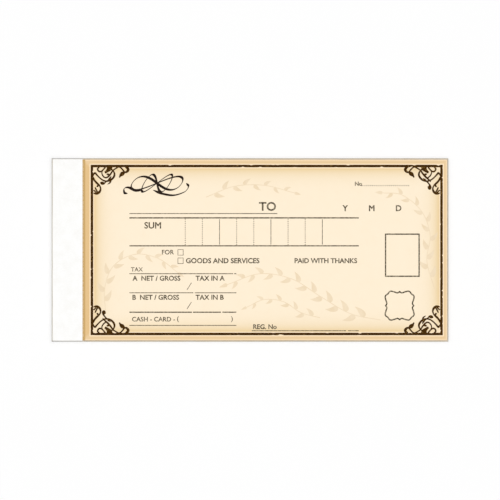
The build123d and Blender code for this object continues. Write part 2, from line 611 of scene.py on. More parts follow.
@dataclass(frozen=True)
class PulpBoard(Finish):
    """Grey backing board of mixed waste pulp, with pale clouds and dark specks."""

    board_grey: Colour = srgb(176, 168, 153)
    pale: Colour = srgb(203, 197, 184)
    dark: Colour = srgb(126, 116, 101)
    cloud_scale: float = 220.0  # clouds to a metre
    cloud_share: float = 0.6  # of the clouds in the tone, the rest being plies
    ply_scale: float = 600.0
    ply_draw: tuple[float, float, float] = (0.1, 0.1, 12.0)  # long along the board, thin through it
    tone_band: Band = (0.3, 0.7)
    speck_scale: float = 1800.0  # specks to a metre
    speck_band: Band = (0.62, 0.74)
    touch: Touch = Touch(roughness=0.78, spread=0.15, relief=0.08 * MM, lean=0.5, gloss=0.15)

    def paint(self, board: NodeBoard) -> None:
        """Cloudy grey with specks and laminated edges."""
        spot = board.place()
        cloud = board.noise(spot, self.cloud_scale, detail=4.0)
        speck = board.noise(spot, self.speck_scale, detail=2.0)
        ply = board.noise(board.stretched(spot, self.ply_draw), self.ply_scale, detail=2.0)
        tone = cloud.with_rest(self.cloud_share, ply).between(*self.tone_band)
        grey = board.mixed(tone, self.board_grey, self.pale)
        board.coated(board.mixed(speck.between(*self.speck_band), grey, self.dark), self.touch, speck)


@dataclass(frozen=True)
class ShieldCard(Finish):
    """Smooth buff card, pressed hard, with fine fibres and a slight sheen."""

    card: Colour = srgb(223, 206, 171)
    cloud: Colour = srgb(216, 198, 161)
    fibre_tone: Colour = srgb(189, 167, 127)
    cloud_scale: float = 180.0  # clouds to a metre
    cloud_band: Band = (0.35, 0.65)
    fibre_scale: float = 2200.0  # fibres to a metre, across
    fibre_draw: float = 0.25  # their pace along the card, against that across
    fibre_band: Band = (0.58, 0.75)
    fibre_share: float = 0.5
    touch: Touch = Touch(roughness=0.42, spread=0.15, relief=0.03 * MM, lean=0.3, gloss=0.35)

    def paint(self, board: NodeBoard) -> None:
        """Cloudy buff with long dark fibres."""
        spot = board.place()
        cloud = board.noise(spot, self.cloud_scale, detail=4.0)
        drawn = board.stretched(spot, (self.fibre_draw, 1.0, 1.0))
        fibre = board.noise(drawn, self.fibre_scale, detail=4.0)
        tone = board.mixed(cloud.between(*self.cloud_band), self.card, self.cloud)
        share = fibre.between(*self.fibre_band) * self.fibre_share
        board.coated(board.mixed(share, tone, self.fibre_tone), self.touch, fibre, rough=cloud)


@dataclass(frozen=True)
class PaddingGlue(Finish):
    """Dried padding glue: milky, brushed along the spine, with a soft gloss."""

    milky: Colour = srgb(216, 213, 203)
    thin: Colour = srgb(197, 191, 176)
    streak_scale: float = 1800.0  # streaks to a metre
    brush: float = 0.06  # their pace along the spine, against that across
    streak_band: Band = (0.35, 0.7)
    touch: Touch = Touch(roughness=0.28, spread=0.25, relief=0.06 * MM, lean=0.5, gloss=0.5)

    def paint(self, board: NodeBoard) -> None:
        """Brush streaks along the spine."""
        brushed = board.stretched(board.place(), (1.0, self.brush, 1.0))
        streak = board.noise(brushed, self.streak_scale)
        tone = board.mixed(streak.between(*self.streak_band), self.milky, self.thin)
        board.coated(tone, self.touch, streak)


@dataclass(frozen=True)
class Ink(Finish):
    """A printing ink that lies unevenly and is rubbed in small flecks."""

    ink: Colour = srgb(60, 36, 4)
    thin: Colour = srgb(72, 46, 10)
    patch: float = 4.0 * MM  # size of the patches where it lies thin
    patch_band: Band = (0.3, 0.7)
    rubbed: Colour = srgb(200, 160, 92)
    rub: float = 0.0  # share of the ink lost to flecks at their middle
    fleck: float = 0.9 * MM  # size of a fleck
    fleck_band: Band = (0.6, 0.72)
    roughness: float = 0.55
    spread: float = 0.2  # what the patches add to the roughness
    sheen: float = 0.1  # specular level

    def paint(self, board: NodeBoard) -> None:
        """Uneven ink, then flecks of the ground."""
        spot = board.place()
        patch = board.noise(spot, 1.0 / self.patch)
        loss = board.noise(spot, 1.0 / self.fleck, detail=2.0).between(*self.fleck_band)
        uneven = board.mixed(patch.between(*self.patch_band), self.ink, self.thin)
        board.coat(
            Base_Color=board.mixed(loss * self.rub, uneven, self.rubbed),
            Roughness=self.roughness + patch * self.spread,
            Specular_IOR_Level=self.sheen,
        )


@dataclass(frozen=True)
class StudioFloor(Finish):
    """A white floor that shows white to the camera and keeps the book's shadow."""

    glow: float = 0.6  # share of the floor that is white by itself to the camera
    white: Colour = srgb(254, 254, 254)
    off_white: Colour = srgb(252, 252, 252)
    grain_scale: float = 30.0  # patches to a metre

    def paint(self, board: NodeBoard) -> None:
        """A matt white, mixed with plain white for rays from the camera, in gloss and through glass."""
        grain = board.noise(board.place(), self.grain_scale, detail=2.0)
        tone = board.mixed(grain, self.white, self.off_white)
        matt = board.add("ShaderNodeBsdfDiffuse", None, {"Color": tone})
        plain = board.add("ShaderNodeEmission", None, {"Strength": 1.0})
        shown = board.seen_plainly() * self.glow
        board.end_in("ShaderNodeOutputMaterial", shown, matt, plain)


@dataclass
class Surface:
    """A closed mesh held as arrays.

    Attributes:
        points: one row per vertex, in metres in the book's frame.
        quads: four vertex numbers per face, counterclockwise seen from outside.
        triangles: three vertex numbers per face, likewise.
        page: page coordinates of every corner of the quads, where a material reads them.
    """

    points: np.ndarray
    quads: np.ndarray
    triangles: np.ndarray = field(default_factory=lambda: np.empty((0, 3), int))
    page: np.ndarray | None = None

    @staticmethod
    def joined(parts: Iterable["Surface"]) -> "Surface":
        """Several surfaces as one mesh, each closed in itself."""
        held = list(parts)
        starts = np.cumsum([0] + [len(part.points) for part in held[:-1]])
        return Surface(
            np.vstack([part.points for part in held]),
            np.vstack([part.quads + start for part, start in zip(held, starts)]),
            np.vstack([part.triangles + start for part, start in zip(held, starts)]),
        )

    def piece(self, name: str, finish: Finish, slot: str) -> bpy.types.Object:
        """The surface as a finished object.

        Args:
            name: the piece's name.
            finish: what it is dressed in.
            slot: the record's material slot that it takes its finish from.

        Returns:
            The object, at the origin, with its place in its mesh.
        """
        mesh = bpy.data.meshes.new(name)
        mesh.from_pydata(self.points, [], self.quads.tolist() + self.triangles.tolist())
        if self.page is not None:
            mesh.uv_layers.new(name=PAGE_MAP).data.foreach_set("uv", self.page.ravel())
        mesh.materials.append(finish.material())
        mesh.update()
        made = bpy.data.objects.new(name, mesh)
        bpy.context.scene.collection.objects.link(made)
        return made


def strip(
    left: np.ndarray, right: np.ndarray, low: float, high: float | np.ndarray, closed: bool = False
) -> Surface:
    """A flat band between two edges, with a thickness.

    At every station the section is the rectangle between the left and the right edge, from low to high, and
    the sections are carried along the two edges together.

    Args:
        left: points of the left-hand edge, in metres, one row per station.
        right: points of the right-hand edge, likewise.
        low: level of the underside.
        high: level of the face, or its level at every station.
        closed: whether the last station joins the first.

    Returns:
        The closed surface.
    """
    count = len(left)
    sides = np.stack([left, right, right, left], 1)
    face, foot = np.broadcast_to(high, count), np.broadcast_to(low, count)
    levels = np.stack([face, face, foot, foot], 1)[:, :, None]
    points = np.concatenate([sides, levels], 2).reshape(-1, 3)
    ring = np.arange(4 * count).reshape(count, 4)
    here = ring if closed else ring[:-1]
    ahead = np.roll(ring, -1, 0) if closed else ring[1:]
    walls = np.stack([here, np.roll(here, -1, 1), np.roll(ahead, -1, 1), ahead], 2).reshape(-1, 4)
    if closed:
        return Surface(points, walls)
    ends = np.array([ring[0, [0, 3, 2, 1]], ring[-1]])
    return Surface(points, np.vstack([walls, ends]))


def stroke(
    path: np.ndarray,
    width: float | np.ndarray,
    low: float,
    high: float | np.ndarray,
    closed: bool = False,
) -> Surface:
    """A pen stroke: a strip whose edges lie half a width to either side of a path, square to it.

    Args:
        path: points of the middle line, in metres.
        width: the pen's width, or its width at each point.
        low: level of the underside.
        high: level of the face, or its level at every point.
        closed: whether the path joins its own start.

    Returns:
        The closed surface.
    """
    if closed:
        heading = np.roll(path, -1, 0) - np.roll(path, 1, 0)
    else:
        heading = np.gradient(path, axis=0)
    heading = heading / np.linalg.norm(heading, axis=1, keepdims=True)
    half_width = 0.5 * np.broadcast_to(width, len(path))[:, None]
    aside = np.stack([-heading[:, 1], heading[:, 0]], 1) * half_width
    return strip(path + aside, path - aside, low, high, closed)


def flowing(knots: Sequence[Sequence[float]], closed: bool = False, steps: int = 8) -> np.ndarray:
    """A smooth line through given knots: a Catmull-Rom cubic between each pair of knots.

    Each cubic leaves a knot in the direction from the knot before to the knot after.

    Args:
        knots: the points, with any further numbers, such as a width, carried along.
        closed: whether the last knot leads back to the first.
        steps: points on each cubic.

    Returns:
        The line's rows.
    """
    rows = np.asarray(knots, float)
    if closed:
        held = np.vstack([rows[-1:], rows, rows[:2]])
        spans = len(rows)
    else:
        held = np.vstack([2 * rows[0] - rows[1], rows, 2 * rows[-1] - rows[-2]])
        spans = len(rows) - 1
    run = np.linspace(0, spans, spans * steps + 1)
    run = run[:-1] if closed else run
    span = np.minimum(run.astype(int), spans - 1)
    part = (run - span)[:, None]
    before, start, end, after = held[span], held[span + 1], held[span + 2], held[span + 3]
    square = 2 * before - 5 * start + 4 * end - after
    cube = 3 * start - before - 3 * end + after
    return 0.5 * (2 * start + (end - before) * part + square * part**2 + cube * part**3)


def at_two_levels(flat: np.ndarray, low: float, high: float) -> np.ndarray:
    """Flat points given two levels.

    Args:
        flat: the points.
        low: level of the underside.
        high: level of the face.

    Returns:
        All the points of the face, then all those of the underside.
    """
    face = np.column_stack([flat, np.full(len(flat), high)])
    underside = np.column_stack([flat, np.full(len(flat), low)])
    return np.vstack([face, underside])


# Faces of a slab by the numbers of its corners: the upper four, counterclockwise, then the lower four.
SLAB_FACES = np.array(
    [[0, 1, 2, 3], [7, 6, 5, 4], [4, 5, 1, 0], [5, 6, 2, 1], [6, 7, 3, 2], [7, 4, 0, 3]]
)


def slabs(corners: np.ndarray, low: float | np.ndarray, high: float | np.ndarray) -> Surface:
    """Thin slabs with four corners each.

    Args:
        corners: the corners of every slab, counterclockwise seen from above, in metres.
        low: level of the undersides, or one level each.
        high: level of the faces, or one level each.

    Returns:
        The closed surface of all the slabs.
    """
    count = len(corners)
    levels = np.stack([np.broadcast_to(high, count), np.broadcast_to(low, count)], 1)
    raised_corners = [np.tile(corners, (1, 2, 1)), levels.repeat(4, 1)[:, :, None]]
    points = np.concatenate(raised_corners, 2).reshape(-1, 3)
    quads = (8 * np.arange(count)[:, None, None] + SLAB_FACES).reshape(-1, 4)
    return Surface(points, quads)


def stamped(centres: np.ndarray, size: float, low: float, high: float) -> Surface:
    """One small square dot, repeated at every centre.

    Args:
        centres: middles of the dots, in metres.
        size: side of a dot.
        low: level of the underside.
        high: level of the face.

    Returns:
        The closed surface of all the dots.
    """
    half = 0.5 * size
    corner = np.array([[-half, -half], [half, -half], [half, half], [-half, half]])
    return slabs(centres[:, None] + corner, low, high)


def rim_of(triangles: np.ndarray) -> np.ndarray:
    """The sides that only one triangle has, each in the direction in which that triangle runs.

    Args:
        triangles: three point numbers per row, all counterclockwise.

    Returns:
        First and last point number of every such side.
    """
    sides = np.vstack([triangles[:, [0, 1]], triangles[:, [1, 2]], triangles[:, [2, 0]]])
    count = triangles.max() + 1
    key = sides[:, 0] * count + sides[:, 1]
    twin = sides[:, 1] * count + sides[:, 0]
    return sides[~np.isin(key, twin)]


def raised(flat: np.ndarray, triangles: np.ndarray, low: float, high: float) -> Surface:
    """A flat filled shape given a thickness: its face, its underside and a wall under each open edge.

    Args:
        flat: points of the shape, in metres.
        triangles: its fill, counterclockwise seen from above.
        low: level of the underside.
        high: level of the face.

    Returns:
        The closed surface.
    """
    below = len(flat)
    rim = rim_of(triangles)
    walls = np.column_stack([rim[:, 0] + below, rim[:, 1] + below, rim[:, 1], rim[:, 0]])
    fill = np.vstack([triangles, triangles[:, ::-1] + below])
    return Surface(at_two_levels(flat, low, high), walls, fill)


def swollen(flat: np.ndarray, triangles: np.ndarray, swell: float) -> np.ndarray:
    """Moves the rim of flat shapes outwards, all round by the same distance.

    A point of the rim moves along the sum of the outward directions of its two sides, by twice the swell over
    the square of that sum's length, as a mitre does.

    Args:
        flat: the points, all of them on the rim.
        triangles: the fill, counterclockwise.
        swell: the distance.

    Returns:
        The moved points.
    """
    rim = rim_of(triangles)
    way = flat[rim[:, 1]] - flat[rim[:, 0]]
    outward = np.stack([way[:, 1], -way[:, 0]], -1) / np.linalg.norm(way, axis=1)[:, None]
    push = np.zeros_like(flat)
    np.add.at(push, rim[:, 0], outward)
    np.add.at(push, rim[:, 1], outward)
    return flat + 2 * swell * push / np.maximum((push**2).sum(1), 1.0)[:, None]


def letter_shapes(text: str, swell: float) -> tuple[np.ndarray, np.ndarray]:
    """Flat filled shapes of a line of plain capitals and figures, in the built-in face.

    Args:
        text: the line.
        swell: how far the letters print over their outlines, for letters about 1 high.

    Returns:
        Points, with the line's lower left corner at nought and its height one, and triangles.
    """
    curve = bpy.data.curves.new("lettering", "FONT")
    curve.body = text
    curve.resolution_u = LETTER_STEPS
    holder = bpy.data.objects.new("lettering", curve)
    mesh = bpy.data.meshes.new_from_object(holder)
    mesh.calc_loop_triangles()
    points = np.empty(3 * len(mesh.vertices), np.float32)
    mesh.vertices.foreach_get("co", points)
    fill = np.empty(3 * len(mesh.loop_triangles), np.int32)
    mesh.loop_triangles.foreach_get("vertices", fill)
    bpy.data.objects.remove(holder)
    bpy.data.curves.remove(curve)
    bpy.data.meshes.remove(mesh)
    flat = np.round(points.reshape(-1, 3)[:, :2].astype(float), WELD_DIGITS)
    flat, same = np.unique(flat, axis=0, return_inverse=True)
    triangles = same.reshape(-1)[fill].reshape(-1, 3)
    first, second, third = flat[triangles[:, 0]], flat[triangles[:, 1]], flat[triangles[:, 2]]
    turn = np.cross(second - first, third - first)
    real = np.abs(turn) > SLIVER
    triangles = np.where(turn[real, None] > 0, triangles[real], triangles[real][:, ::-1])
    flat = swollen(flat, triangles, swell)
    flat = flat - flat.min(0)
    return flat / flat[:, 1].max(), triangles


@dataclass(frozen=True)
class BookSizes:
    """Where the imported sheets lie, in metres."""

    bound_edge: float
    perforation: float
    free_edge: float
    half_width: float
    block_top: float
    original: float  # thickness of an original
    copy: float  # thickness of a copy
    sets: int

    @classmethod
    def from_nodes(cls, names: Iterable[str]) -> "BookSizes":
        """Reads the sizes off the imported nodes.

        Args:
            names: the names of all the nodes.

        Returns:
            The sizes.
        """
        stub_low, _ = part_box("set_01_original_stub")
        slip_low, slip_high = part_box("set_01_original_slip")
        copy_low, copy_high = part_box("set_01_copy_slip")
        numbers = {name.split("_")[1] for name in names if name.startswith("set_")}
        return cls(
            bound_edge=stub_low.x,
            perforation=copy_low.x,
            free_edge=slip_high.x,
            half_width=slip_high.y,
            block_top=slip_high.z,
            original=slip_high.z - slip_low.z,
            copy=copy_high.z - copy_low.z,
            sets=len(numbers),
        )

    @property
    def slip_length(self) -> float:
        """From the perforated line to the free edge."""
        return self.free_edge - self.perforation

    def set_top(self, number: int) -> float:
        """Level of the top of a set, counted from 1 at the top of the book."""
        return self.block_top - (number - 1) * (self.original + self.copy)

    def on_page(self, along: np.ndarray, down: np.ndarray) -> np.ndarray:
        """Places on the slip in millimetres as points of the frame."""
        return np.stack(
            [
                self.perforation + MM * np.asarray(along, float),
                self.half_width - MM * np.asarray(down, float),
            ],
            -1,
        )


@dataclass(frozen=True)
class PerforatedLine:
    """The tear-off line of an original: equal cuts across the sheet, with ties of paper between."""

    cut: float = 1.6 * MM
    tie: float = 0.6 * MM
    slit: float = 0.07 * MM

    def lines(self, half_width: float) -> np.ndarray:
        """Places across the sheet of its two edges and of both ends of every cut."""
        pitch = self.cut + self.tie
        count = int((2 * half_width - self.tie) / pitch)
        middles = (np.arange(count) - 0.5 * (count - 1)) * pitch
        ends = np.stack([middles - 0.5 * self.cut, middles + 0.5 * self.cut], 1).ravel()
        return np.concatenate([[-half_width], ends, [half_width]])

    def ties(self, lines: np.ndarray) -> np.ndarray:
        """Which of the stretches between the lines are paper."""
        return np.arange(len(lines) - 1) % 2 == 0


class SheetSide(Enum):
    """A side of a sheet, by how many page lengths its part of the page map is moved along."""

    FACE = 0
    BACK = 2
    EDGE = 4


def cut_sheet(
    sizes: BookSizes, along: np.ndarray, up: np.ndarray, kept: np.ndarray, low: float, high: float
) -> Surface:
    """A flat sheet on a grid of lines, less some of its cells.

    Each kept cell gives a face above and one below. Wherever a kept cell borders on a dropped one, or on the
    outside, a wall joins the two levels, so the sheet is closed round its cuts too.

    Args:
        sizes: where the page lies.
        along: grid lines along X.
        up: grid lines along Y.
        kept: which cells are paper, first along X, then along Y.
        low: level of the underside.
        high: level of the face.

    Returns:
        The sheet with its page map.
    """
    grid = np.stack(np.meshgrid(along, up, indexing="ij"), -1).reshape(-1, 2)
    below = len(grid)
    points = at_two_levels(grid, low, high)
    index = np.arange(below).reshape(len(along), len(up))
    cells = np.stack([index[:-1, :-1], index[1:, :-1], index[1:, 1:], index[:-1, 1:]], -1)[kept]
    padded = np.pad(kept, 1)
    left, right = padded[:-1, 1:-1], padded[1:, 1:-1]
    under, over = padded[1:-1, :-1], padded[1:-1, 1:]
    lower, upper = index[:, :-1], index[:, 1:]
    nearer, farther = index[:-1, :], index[1:, :]
    starts = [lower[left & ~right], upper[right & ~left], nearer[over & ~under], farther[under & ~over]]
    ends = [upper[left & ~right], lower[right & ~left], farther[over & ~under], nearer[under & ~over]]
    start, end = np.concatenate(starts), np.concatenate(ends)
    walls = np.stack([start + below, end + below, end, start], 1)
    quads = np.vstack([cells, cells[:, ::-1] + below, walls])
    faces = [len(cells), len(cells), len(walls)]
    shift = np.repeat([side.value for side in SheetSide], faces)
    page = np.stack(
        [
            (points[:, 0] - sizes.perforation) / sizes.slip_length,
            (sizes.half_width - points[:, 1]) / (2 * sizes.half_width),
        ],
        -1,
    )[quads]
    page[:, :, 0] += shift[:, None]
    used, same = np.unique(quads, return_inverse=True)
    return Surface(points[used], same.reshape(quads.shape), page=page)


@dataclass
class SheetWork:
    """What any set is cut with: the book's sizes, the tear-off line and the printed paper."""

    sizes: BookSizes
    line: PerforatedLine = PerforatedLine()
    printed: Finish = PrintedPaper("printed_paper")
    plain_lines: int = 5  # grid lines across a sheet without cuts

    def sheet(
        self, along: np.ndarray, top: float, thickness: float, cut_column: int | None = None
    ) -> Surface:
        """One flat sheet, as much thinner as the ink on it needs.

        Args:
            along: its grid lines along X.
            top: level of the highest ink on it.
            thickness: of the sheet and its ink.
            cut_column: which column of its cells the tear-off cuts go through, if any.

        Returns:
            The sheet with its page map.
        """
        half = self.sizes.half_width
        is_cut = cut_column is not None
        up = self.line.lines(half) if is_cut else np.linspace(-half, half, self.plain_lines)
        kept = np.ones((len(along) - 1, len(up) - 1), bool)
        if is_cut:
            kept[cut_column] = self.line.ties(up)
        return cut_sheet(self.sizes, along, up, kept, top - thickness, top - INK_RELIEF)


@dataclass
class TopSet(SheetWork):
    """The set in use: an original that tears off along its cuts, lying on its copy."""

    bare: Finish = BarePaper("bare_paper")
    bend: float = 3.4 * MM  # paper beside the line that bends as a leaf turns
    bend_lines: int = 10  # grid lines in the bend
    flat_lines: int = 6  # and from its end to the free edge

    def leaf_lines(self, first: float) -> np.ndarray:
        """Grid lines along a leaf: close together in the bend, then a few to the free edge."""
        bend_end = self.sizes.perforation + self.bend
        bend = np.linspace(first, bend_end, self.bend_lines)
        rest = np.linspace(bend_end, self.sizes.free_edge, self.flat_lines)[1:]
        return np.concatenate([bend, rest])

    def turning(self, slip: bpy.types.Object, held: str, leaf: str, top: float) -> bpy.types.Object:
        """Bakes the slip's place into its mesh.

        Args:
            slip: the piece.
            held: not used.
            leaf: not used.
            top: level of the slip's face.

        Returns:
            The piece.
        """
        end = (self.sizes.perforation + self.bend, 0.0, top)
        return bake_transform(slip)

    def original(self) -> list[bpy.types.Object]:
        """The original's bare stub and printed slip, each with half of every cut along its edge."""
        sizes = self.sizes
        top = sizes.block_top
        half_slit = 0.5 * self.line.slit
        stub_lines = np.array([sizes.bound_edge, sizes.perforation - half_slit, sizes.perforation])
        slip_lines = np.append(sizes.perforation, self.leaf_lines(sizes.perforation + half_slit))
        stub_sheet = self.sheet(stub_lines, top, sizes.original, cut_column=-1)
        slip_sheet = self.sheet(slip_lines, top, sizes.original, cut_column=0)
        stub = stub_sheet.piece("original_stub", self.printed, "original_paper")
        slip = slip_sheet.piece("original_slip", self.printed, "original_paper")
        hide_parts("set_01_original_stub")
        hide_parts("set_01_original_slip")
        return [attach(stub, "book"), self.turning(slip, "copy_leaf", "original_leaf", top)]

    def copy(self) -> list[bpy.types.Object]:
        """The copy's strip in the binding and its leaf, which both stay in the book."""
        sizes = self.sizes
        top = sizes.block_top - sizes.original
        stub_lines = np.array([sizes.bound_edge, sizes.perforation])
        stub_sheet = self.sheet(stub_lines, top, sizes.copy)
        slip_sheet = self.sheet(self.leaf_lines(sizes.perforation), top, sizes.copy)
        stub = stub_sheet.piece("copy_stub", self.bare, "copy_paper")
        slip = slip_sheet.piece("copy_slip", self.bare, "copy_paper")
        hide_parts("set_01_copy_stub")
        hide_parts("set_01_copy_slip")
        return [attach(stub, "book"), self.turning(slip, "book", "copy_leaf", top)]

    def build(self) -> list[bpy.types.Object]:
        """All four pieces of the set."""
        return [*self.original(), *self.copy()]


@dataclass
class WaitingSets(SheetWork):
    """The sets under the one in use: cut sheets in bundles, none of them quite flush with the next."""

    bundle: int = 10  # sets in one piece
    drift: float = 0.07 * MM  # how far a sheet's cut edges usually lie from the guillotine's line
    most: float = 0.25 * MM  # and the furthest
    stacked: Finish = SheetStack("sheet_stack")

    def next_original(self) -> bpy.types.Object:
        """The printed original of the second set, whole, with its row of cuts."""
        sizes = self.sizes
        half_slit = 0.5 * self.line.slit
        cut_sides = (sizes.perforation - half_slit, sizes.perforation + half_slit)
        along = np.array([sizes.bound_edge, *cut_sides, sizes.free_edge])
        sheet = self.sheet(along, sizes.set_top(2), sizes.original, cut_column=1)
        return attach(sheet.piece("next_original", self.printed, "set_paper"), "book")

    def sheets(self, levels: np.ndarray, draws: np.random.Generator) -> Surface:
        """Sheets between pairs of levels, each a slab whose three free edges wander by a small draw.

        Args:
            levels: underside and face of each sheet, one row each.
            draws: source of the wandering.

        Returns:
            The closed surface of all the sheets.
        """
        sizes = self.sizes
        count = len(levels)
        wander = np.clip(draws.normal(0.0, self.drift, (count, 4)), -self.most, self.most)
        bound = np.full(count, sizes.bound_edge)
        free = sizes.free_edge + wander[:, 0]
        skew = 0.5 * wander[:, 1]
        foot = -sizes.half_width + wander[:, 2]
        head = sizes.half_width + wander[:, 3]
        corners = np.stack(
            [
                np.stack([bound, foot - skew], -1),
                np.stack([free, foot + skew], -1),
                np.stack([free, head + skew], -1),
                np.stack([bound, head - skew], -1),
            ],
            1,
        )
        return slabs(corners, *levels.T)

    def bundles(self) -> list[bpy.types.Object]:
        """The rest of the waiting sheets, in bundles."""
        sizes = self.sizes
        draws = np.random.default_rng(SHEET_SEED)
        pieces = []
        for first in range(1, sizes.sets, self.bundle):
            numbers = np.arange(max(first, 2), first + self.bundle)
            tops = sizes.set_top(numbers)
            middles = tops - sizes.original
            originals = np.stack([middles, tops], 1)
            copies = np.stack([middles - sizes.copy, middles], 1)
            kept = originals[1:] if numbers[0] == 2 else originals
            surface = self.sheets(np.vstack([kept, copies]), draws)
            name = f"sets_{numbers[0]:02d}_to_{numbers[-1]:02d}"
            piece = surface.piece(name, self.stacked, "set_paper")
            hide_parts(*[f"set_{number:02d}" for number in numbers])
            pieces.append(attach(piece, "book"))
        return pieces

    def build(self) -> list[bpy.types.Object]:
        """The next original and the bundles under it."""
        return [self.next_original(), *self.bundles()]


class RuleStyle(Enum):
    """How a rule of the form is drawn."""

    SOLID = "solid"
    DOTTED = "dotted"


class InkLayer(Enum):
    """The inks in the order in which they lie on the paper, each by how much of the relief it fills.

    The highest stays just under the top, where the closed cover lies.
    """

    GROUND = 0.2
    FORM = 0.4
    FRAME = 0.9


class Corner(Enum):
    """A corner of the frame, by the way its scrollwork runs along and down from it."""

    TOP_LEFT = (1.0, 1.0)
    TOP_RIGHT = (-1.0, 1.0)
    BOTTOM_LEFT = (1.0, -1.0)
    BOTTOM_RIGHT = (-1.0, -1.0)


@dataclass(frozen=True)
class Rule:
    """A straight rule of the form, in millimetres on the slip."""

    start: tuple[float, float]
    end: tuple[float, float]
    weight: float
    style: RuleStyle = RuleStyle.SOLID


@dataclass(frozen=True)
class Box:
    """A ruled box of the form, in millimetres on the slip."""

    along: float
    down: float
    width: float
    height: float
    weight: float


@dataclass(frozen=True)
class Label:
    """A plain printed word, by its upper left corner and its height."""

    text: str
    along: float
    down: float
    height: float
    swell: float = 0.03  # how far it prints over its outlines, for letters about 1 high


@dataclass(frozen=True)
class Spray:
    """A faint leafy stem: its knots along and down in millimetres, the number of leaves and their length."""

    stem: tuple[tuple[float, float], ...]
    leaves: int
    leaf: float


def worn_rule(down: float, weight: float, *stretches: tuple[float, float]) -> tuple[Rule, ...]:
    """A level rule in the stretches that wear has left of it, each by where it starts and ends."""
    return tuple(Rule((start, down), (end, down), weight) for start, end in stretches)


# Ends and levels of the form's ruled tables, in millimetres on the slip.
AMOUNT_TOP = 27.1
AMOUNT_FOOT = 40.07
AMOUNT_LEFT = 21.5
AMOUNT_RIGHT = 127.9
COLUMN_START = 47.4
COLUMN_PITCH = 7.95
COLUMN_COUNT = 9
COLUMNS_TO_A_COMMA = 3
TAX_RIGHT = 71.1

FORM_RULES = (
    *worn_rule(25.1, 0.35, (AMOUNT_LEFT, 90.1)),
    *worn_rule(AMOUNT_TOP, 0.6, (AMOUNT_LEFT, AMOUNT_RIGHT)),
    *worn_rule(AMOUNT_FOOT, 0.53, (AMOUNT_LEFT, AMOUNT_RIGHT)),
    *worn_rule(53.0, 0.38, (AMOUNT_LEFT, 69.6), (70.1, TAX_RIGHT)),
    *worn_rule(61.85, 0.36, (AMOUNT_LEFT, 51.16), (51.76, TAX_RIGHT)),
    *worn_rule(70.86, 0.55, (AMOUNT_LEFT, 50.52), (51.0, 63.96), (64.64, TAX_RIGHT)),
    *worn_rule(76.98, 0.34, (AMOUNT_LEFT, TAX_RIGHT)),
    *worn_rule(79.47, 0.39, (78.3, 122.0)),
    *worn_rule(79.47, 0.36, (122.9, AMOUNT_RIGHT)),
    Rule((48.2, 60.5), (50.3, 57.2), 0.3),
    Rule((48.2, 69.4), (50.3, 66.1), 0.3),
    Rule((129.4, 12.15), (150.9, 12.15), 0.3, RuleStyle.DOTTED),
)

FORM_BOXES = (
    Box(44.0, 41.8, 2.45, 2.6, 0.25),
    Box(44.0, 45.7, 2.45, 2.6, 0.25),
    Box(140.33, 34.65, 15.57, 19.53, 0.62),
)

FORM_LABELS = (
    Label("No", 126.1, 10.3, 1.95),
    Label("Y", 120.3, 21.2, 2.8),
    Label("M", 132.6, 21.2, 2.8),
    Label("D", 145.1, 21.2, 2.8),
    Label("TO", 81.6, 19.7, 4.2, swell=0.024),
    Label("SUM", 28.4, 29.0, 3.1, swell=0.024),
    Label("FOR", 36.6, 41.9, 2.2, swell=0.018),
    Label("GOODS AND SERVICES", 47.7, 45.7, 2.5),
    Label("PAID WITH THANKS", 98.1, 45.75, 2.4),
    Label("TAX", 22.2, 50.0, 2.0, swell=0.018),
    Label("A  NET / GROSS", 22.9, 53.9, 2.4),
    Label("TAX IN A", 52.2, 53.9, 2.35),
    Label("B  NET / GROSS", 22.9, 62.75, 2.4),
    Label("TAX IN B", 52.2, 62.75, 2.35),
    Label("CASH - CARD -", 22.7, 73.0, 2.2, swell=0.02),
    Label("(", 43.6, 72.7, 2.8, swell=0.018),
    Label(")", 68.6, 72.7, 2.8, swell=0.018),
    Label("REG. No", 78.9, 76.45, 2.3),
)

GROUND_SPRAYS = (
    Spray(((138.0, 74.5), (124.0, 71.5), (110.0, 63.5), (97.0, 55.5), (82.0, 53.0), (67.0, 58.0)), 17, 7.0),
    Spray(((110.0, 73.5), (101.0, 71.0), (93.0, 66.0), (84.0, 65.0), (76.0, 68.5)), 9, 5.0),
    Spray(
        ((163.0, 60.0), (159.5, 47.0), (161.0, 35.0), (157.0, 24.0), (148.0, 16.5), (139.0, 15.5)), 13, 6.2
    ),
    Spray(((10.5, 71.0), (10.0, 60.0), (14.0, 49.5), (24.0, 44.0), (35.0, 46.0), (44.0, 52.5)), 13, 6.2),
    Spray(((57.0, 17.5), (70.0, 12.5), (84.0, 12.0), (98.0, 15.5)), 9, 5.4),
)

